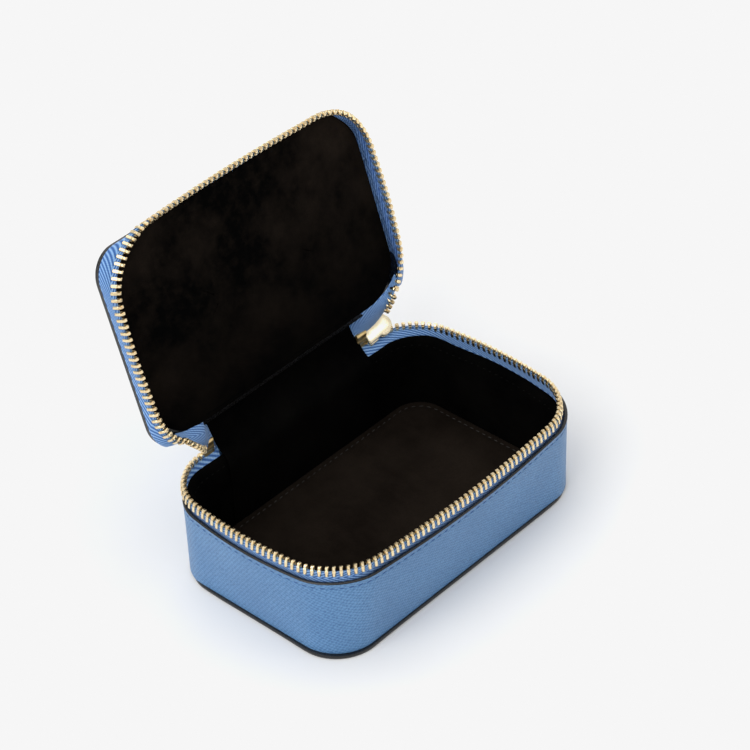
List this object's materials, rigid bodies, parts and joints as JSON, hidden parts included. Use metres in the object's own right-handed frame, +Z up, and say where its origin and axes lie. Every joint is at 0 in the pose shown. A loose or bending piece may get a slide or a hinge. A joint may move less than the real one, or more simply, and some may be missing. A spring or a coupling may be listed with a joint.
{
  "type": "jewellery case",
  "caption": "Small rectangular zip-round jewellery case in blue grained leather with black painted edges, suede lining, hinged lid and gold metal zip.",
  "frame": {"origin": "middle of the tray's underside, on the surface it stands on", "axes": "+X along the long side, with the slider's end at +X; -Y towards the front, +Y towards the hinge; +Z up"},
  "size_m": [0.1138, 0.0951, 0.1087],
  "materials": {
    "leather": "cross-grain embossed leather, cornflower blue, satin",
    "edge_leather": "cross-grain embossed leather with black painted cut edges",
    "suede": "black brushed microsuede, matt",
    "floor_suede": "black-brown brushed microsuede, matt",
    "board": "grey stiffening board",
    "tape": "herringbone-woven polyester zip tape, bright blue",
    "thread": "twisted polyester thread, blue",
    "black_thread": "twisted polyester thread, black-brown",
    "gold": "pale gold plating, polished",
    "backing": "bonded backing with black painted edge"
  },
  "bodies": {
    "tray": {"base_leather": "edge_leather", "base_board": "board", "floor_pad": "floor_suede", "floor_stitches": "black_thread", "tray_wall_leather": "leather", "tray_wall_board": "board", "tray_wall_lining": "suede", "rim_stitches": "thread", "tray_zip_tape": "tape", "tray_zip_teeth": "gold", "end_stop_left": "gold", "end_stop_right": "gold", "spine_leather_lower": "leather", "spine_lining_lower": "suede"},
    "lid": {"lid_leather": "edge_leather", "lid_backing": "backing", "lid_board": "board", "lid_lining": "suede", "lid_stitches": "thread", "lid_zip_tape": "tape", "lid_zip_teeth": "gold", "spine_leather_upper": "leather", "spine_lining_upper": "suede"},
    "slider": {"slider_body": "gold", "slider_bridge": "gold"},
    "pull": {"pull_tab": "gold"}
  },
  "joints": [
    {"name": "lid_hinge", "type": "hinge", "parent": "tray", "child": "lid", "pos_m": [0, 0.0372, 0.0387], "axis": [1, 0, 0], "range_deg": [0, 108]},
    {"name": "slider_travel", "type": "hinge", "parent": "tray", "child": "slider", "pos_m": [0.0387, 0.0202, 0.0324], "axis": [0, 0, -1], "range_deg": [0, 14]},
    {"name": "pull_swing", "type": "hinge", "parent": "slider", "child": "pull", "pos_m": [0.0417, 0.03916, 0.0324], "axis": [0, 0, -1], "range_deg": [0, 180]}
  ]
}
